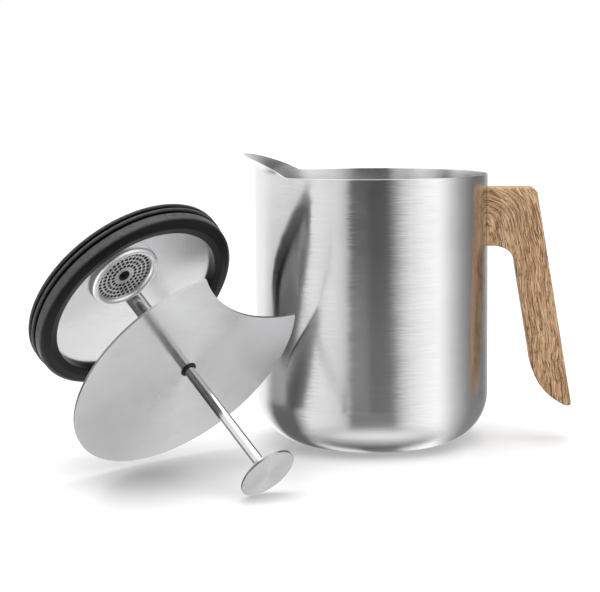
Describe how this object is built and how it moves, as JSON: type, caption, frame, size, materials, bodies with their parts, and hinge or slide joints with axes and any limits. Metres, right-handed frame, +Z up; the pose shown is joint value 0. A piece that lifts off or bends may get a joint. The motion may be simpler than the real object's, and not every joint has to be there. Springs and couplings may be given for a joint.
{
  "type": "french press",
  "caption": "Insulated steel jug with a pouring lip and wooden handle, with its lift-out plunger lying in front: flat lid, push rod and sealed piston with an off-centre strainer.",
  "frame": {"origin": "centre of the jug's base, on the surface it stands on", "axes": "+Z up along the jug's axis, +X from the jug's axis to its handle, -X to its spout"},
  "size_m": [0.2399, 0.1869, 0.1362],
  "materials": {
    "jug_steel": "fine brushing around the wall, satin",
    "inner_steel": "dull satin inside",
    "base_steel": "satin, circular",
    "lid_steel": "satin spun in circles, half mirror",
    "rod_steel": "polished",
    "disc_steel": "polished, near mirror",
    "plate_steel": "satin",
    "strainer_steel": "satin",
    "mesh_steel": "fine woven mesh",
    "fixing_steel": "turned, plain",
    "silicone": "matt silicone",
    "bush_plastic": "smooth",
    "oak": "oiled oak, open grain"
  },
  "bodies": {
    "jug": {"jug_outer_shell": "jug_steel", "jug_inner_shell": "inner_steel", "jug_base_cap": "base_steel", "handle": "oak", "handle_bracket": "fixing_steel", "handle_screw": "fixing_steel"},
    "plunger": {"knob_disc": "lid_steel", "knob_neck": "rod_steel", "plunger_rod": "rod_steel", "rod_socket": "rod_steel", "piston_disc": "disc_steel", "clamp_plate": "plate_steel", "piston_seal": "silicone", "rod_washer": "fixing_steel", "rod_nut": "fixing_steel", "strainer_ring": "rod_steel", "strainer_disc": "strainer_steel", "strainer_mesh": "mesh_steel", "strainer_plug": "silicone", "strainer_retainer": "plate_steel"},
    "bush": {"lid_bush": "bush_plastic", "bush_retainer": "fixing_steel"},
    "lid": {"lid_plate": "lid_steel"}
  },
  "joints": [
    {"name": "plunger_lift", "type": "slide", "parent": "jug", "child": "plunger", "axis": [0, 0, 1], "range_m": [0, 0.3]},
    {"name": "lid_slide", "type": "slide", "parent": "plunger", "child": "bush", "axis": [0.6011, -0.5337, -0.5948], "range_m": [-0.0311, 0.0548]},
    {"name": "lid_turn", "type": "hinge", "parent": "bush", "child": "lid", "pos_m": [-0.0753, -0.0854, 0.0472], "axis": [0.6011, -0.5337, -0.5948], "continuous": true}
  ]
}
